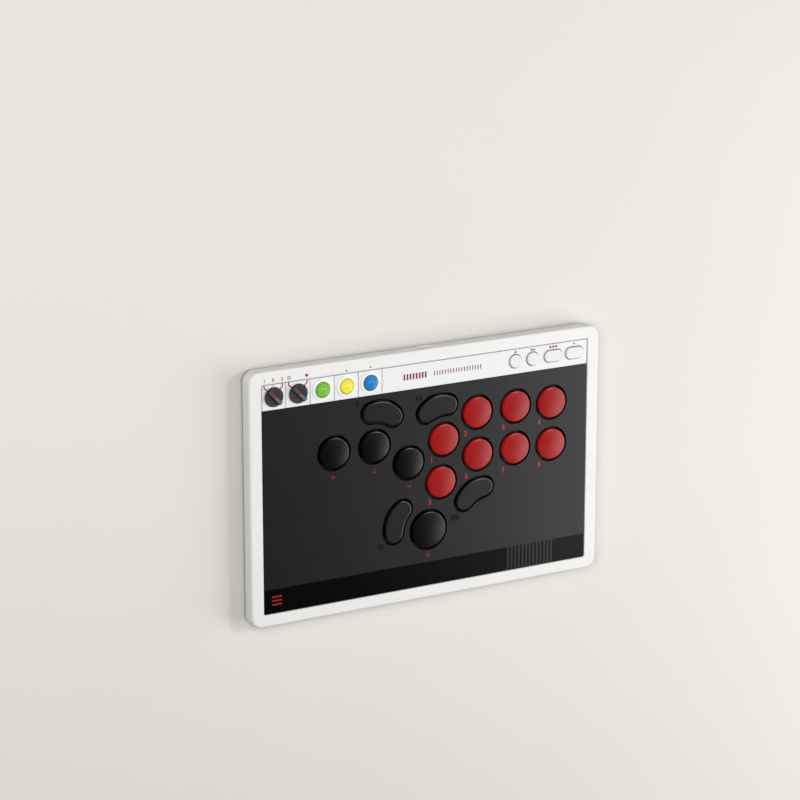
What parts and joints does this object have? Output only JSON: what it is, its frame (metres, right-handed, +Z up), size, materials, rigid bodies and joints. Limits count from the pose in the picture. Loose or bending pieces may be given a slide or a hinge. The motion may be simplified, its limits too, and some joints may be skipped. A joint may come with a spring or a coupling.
{
  "type": "all-button arcade controller",
  "caption": "Slim desktop arcade controller with a white case, dark face plate, low-profile red, black and kidney-shaped keys, lit header buttons and turn knobs.",
  "frame": {"origin": "on the table under the centre of the case, at the bottom of the feet", "axes": "+X to the player's right along the case's long side, +Y away from the player towards the header strip, +Z up out of the face"},
  "size_m": [0.3, 0.196, 0.0196],
  "materials": {
    "white_case": "fine satin moulded plastic",
    "grey_case": "fine spark-eroded texture",
    "rubber": "matt",
    "face_plate": "dark grey, semi-gloss, fine grain",
    "white_header": "satin",
    "black_plastic": "matt",
    "spring_steel": "bright wire",
    "steel_plate": "blackened",
    "circuit_board": "green solder resist",
    "chips": "matt",
    "battery_wrap": "foil pouch",
    "port_steel": "drawn",
    "screw_steel": "black zinc",
    "white_ring": "gloss",
    "silicone": "translucent, matt",
    "smoked_lens": "smoked",
    "red_cap": "satin gloss, fine grain",
    "black_cap": "satin gloss, fine grain",
    "stem_plastic": "self-lubricating",
    "white_button": "satin gloss",
    "green_lamp": "lit, translucent",
    "yellow_lamp": "lit, translucent",
    "blue_lamp": "lit, translucent",
    "black_knob": "satin"
  },
  "bodies": {
    "case": {"top_shell": "white_case", "bottom_shell": "grey_case", "rubber_feet": "rubber", "face_plate": "face_plate", "header_panel": "white_header", "switch_bases": "black_plastic", "switch_covers": "black_plastic", "switch_springs": "spring_steel", "switch_plate": "steel_plate", "main_board": "circuit_board", "board_chips": "chips", "battery_pack": "battery_wrap", "usb_port": "port_steel", "case_screws": "screw_steel", "board_screws": "screw_steel", "selector_bodies": "black_plastic", "button_bezels": "white_ring", "dome_pads": "silicone", "indicator_lenses": "smoked_lens"},
    "key_left": {"cap_left": "black_cap", "stem_left": "stem_plastic"},
    "key_down": {"cap_down": "black_cap", "stem_down": "stem_plastic"},
    "key_right": {"cap_right": "black_cap", "stem_right": "stem_plastic"},
    "key_up": {"cap_up": "black_cap", "stem_up": "stem_plastic"},
    "key_action_1": {"cap_action_1": "red_cap", "stem_action_1": "stem_plastic"},
    "key_action_2": {"cap_action_2": "red_cap", "stem_action_2": "stem_plastic"},
    "key_action_3": {"cap_action_3": "red_cap", "stem_action_3": "stem_plastic"},
    "key_action_4": {"cap_action_4": "red_cap", "stem_action_4": "stem_plastic"},
    "key_action_5": {"cap_action_5": "red_cap", "stem_action_5": "stem_plastic"},
    "key_action_6": {"cap_action_6": "red_cap", "stem_action_6": "stem_plastic"},
    "key_action_7": {"cap_action_7": "red_cap", "stem_action_7": "stem_plastic"},
    "key_action_8": {"cap_action_8": "red_cap", "stem_action_8": "stem_plastic"},
    "key_macro_1": {"cap_macro_1": "black_cap", "stem_macro_1": "stem_plastic"},
    "key_macro_2": {"cap_macro_2": "black_cap", "stem_macro_2": "stem_plastic"},
    "key_macro_3": {"cap_macro_3": "black_cap", "stem_macro_3": "stem_plastic"},
    "key_macro_4": {"cap_macro_4": "black_cap", "stem_macro_4": "stem_plastic"},
    "thumb_left_button": {"thumb_left_button": "white_button"},
    "thumb_right_button": {"thumb_right_button": "white_button"},
    "select_button": {"select_button": "white_button"},
    "start_button": {"start_button": "white_button"},
    "green_button": {"green_button": "green_lamp"},
    "yellow_button": {"yellow_button": "yellow_lamp"},
    "blue_button": {"blue_button": "blue_lamp"},
    "mode_knob": {"mode_knob": "black_knob"},
    "link_knob": {"link_knob": "black_knob"}
  },
  "joints": [
    {"name": "press_left", "type": "slide", "parent": "case", "child": "key_left", "axis": [0, 0, -1], "range_m": [0, 0.0026], "stiffness_N_per_m": 117, "springref_m": -0.0021, "deforming": ["switch_springs"]},
    {"name": "press_down", "type": "slide", "parent": "case", "child": "key_down", "axis": [0, 0, -1], "range_m": [0, 0.0026], "stiffness_N_per_m": 117, "springref_m": -0.0021, "deforming": ["switch_springs"]},
    {"name": "press_right", "type": "slide", "parent": "case", "child": "key_right", "axis": [0, 0, -1], "range_m": [0, 0.0026], "stiffness_N_per_m": 117, "springref_m": -0.0021, "deforming": ["switch_springs"]},
    {"name": "press_up", "type": "slide", "parent": "case", "child": "key_up", "axis": [0, 0, -1], "range_m": [0, 0.0026], "stiffness_N_per_m": 117, "springref_m": -0.0021, "deforming": ["switch_springs"]},
    {"name": "press_action_1", "type": "slide", "parent": "case", "child": "key_action_1", "axis": [0, 0, -1], "range_m": [0, 0.0026], "stiffness_N_per_m": 117, "springref_m": -0.0021, "deforming": ["switch_springs"]},
    {"name": "press_action_2", "type": "slide", "parent": "case", "child": "key_action_2", "axis": [0, 0, -1], "range_m": [0, 0.0026], "stiffness_N_per_m": 117, "springref_m": -0.0021, "deforming": ["switch_springs"]},
    {"name": "press_action_3", "type": "slide", "parent": "case", "child": "key_action_3", "axis": [0, 0, -1], "range_m": [0, 0.0026], "stiffness_N_per_m": 117, "springref_m": -0.0021, "deforming": ["switch_springs"]},
    {"name": "press_action_4", "type": "slide", "parent": "case", "child": "key_action_4", "axis": [0, 0, -1], "range_m": [0, 0.0026], "stiffness_N_per_m": 117, "springref_m": -0.0021, "deforming": ["switch_springs"]},
    {"name": "press_action_5", "type": "slide", "parent": "case", "child": "key_action_5", "axis": [0, 0, -1], "range_m": [0, 0.0026], "stiffness_N_per_m": 117, "springref_m": -0.0021, "deforming": ["switch_springs"]},
    {"name": "press_action_6", "type": "slide", "parent": "case", "child": "key_action_6", "axis": [0, 0, -1], "range_m": [0, 0.0026], "stiffness_N_per_m": 117, "springref_m": -0.0021, "deforming": ["switch_springs"]},
    {"name": "press_action_7", "type": "slide", "parent": "case", "child": "key_action_7", "axis": [0, 0, -1], "range_m": [0, 0.0026], "stiffness_N_per_m": 117, "springref_m": -0.0021, "deforming": ["switch_springs"]},
    {"name": "press_action_8", "type": "slide", "parent": "case", "child": "key_action_8", "axis": [0, 0, -1], "range_m": [0, 0.0026], "stiffness_N_per_m": 117, "springref_m": -0.0021, "deforming": ["switch_springs"]},
    {"name": "press_macro_1", "type": "slide", "parent": "case", "child": "key_macro_1", "axis": [0, 0, -1], "range_m": [0, 0.0026], "stiffness_N_per_m": 117, "springref_m": -0.0021, "deforming": ["switch_springs"]},
    {"name": "press_macro_2", "type": "slide", "parent": "case", "child": "key_macro_2", "axis": [0, 0, -1], "range_m": [0, 0.0026], "stiffness_N_per_m": 117, "springref_m": -0.0021, "deforming": ["switch_springs"]},
    {"name": "press_macro_3", "type": "slide", "parent": "case", "child": "key_macro_3", "axis": [0, 0, -1], "range_m": [0, 0.0026], "stiffness_N_per_m": 117, "springref_m": -0.0021, "deforming": ["switch_springs"]},
    {"name": "press_macro_4", "type": "slide", "parent": "case", "child": "key_macro_4", "axis": [0, 0, -1], "range_m": [0, 0.0026], "stiffness_N_per_m": 117, "springref_m": -0.0021, "deforming": ["switch_springs"]},
    {"name": "press_thumb_left_button", "type": "slide", "parent": "case", "child": "thumb_left_button", "axis": [0, 0, -1], "range_m": [0, 0.0008], "stiffness_N_per_m": 300, "springref_m": -0.001, "deforming": ["dome_pads"]},
    {"name": "press_thumb_right_button", "type": "slide", "parent": "case", "child": "thumb_right_button", "axis": [0, 0, -1], "range_m": [0, 0.0008], "stiffness_N_per_m": 300, "springref_m": -0.001, "deforming": ["dome_pads"]},
    {"name": "press_select_button", "type": "slide", "parent": "case", "child": "select_button", "axis": [0, 0, -1], "range_m": [0, 0.0008], "stiffness_N_per_m": 300, "springref_m": -0.001, "deforming": ["dome_pads"]},
    {"name": "press_start_button", "type": "slide", "parent": "case", "child": "start_button", "axis": [0, 0, -1], "range_m": [0, 0.0008], "stiffness_N_per_m": 300, "springref_m": -0.001, "deforming": ["dome_pads"]},
    {"name": "press_green_button", "type": "slide", "parent": "case", "child": "green_button", "axis": [0, 0, -1], "range_m": [0, 0.0008], "stiffness_N_per_m": 300, "springref_m": -0.001, "deforming": ["dome_pads"]},
    {"name": "press_yellow_button", "type": "slide", "parent": "case", "child": "yellow_button", "axis": [0, 0, -1], "range_m": [0, 0.0008], "stiffness_N_per_m": 300, "springref_m": -0.001, "deforming": ["dome_pads"]},
    {"name": "press_blue_button", "type": "slide", "parent": "case", "child": "blue_button", "axis": [0, 0, -1], "range_m": [0, 0.0008], "stiffness_N_per_m": 300, "springref_m": -0.001, "deforming": ["dome_pads"]},
    {"name": "turn_mode_knob", "type": "hinge", "parent": "case", "child": "mode_knob", "pos_m": [-0.13, 0.0785, 0.0166], "axis": [0, 0, -1], "range_deg": [0, 90]},
    {"name": "turn_link_knob", "type": "hinge", "parent": "case", "child": "link_knob", "pos_m": [-0.11, 0.0785, 0.0166], "axis": [0, 0, -1], "range_deg": [0, 90]}
  ]
}
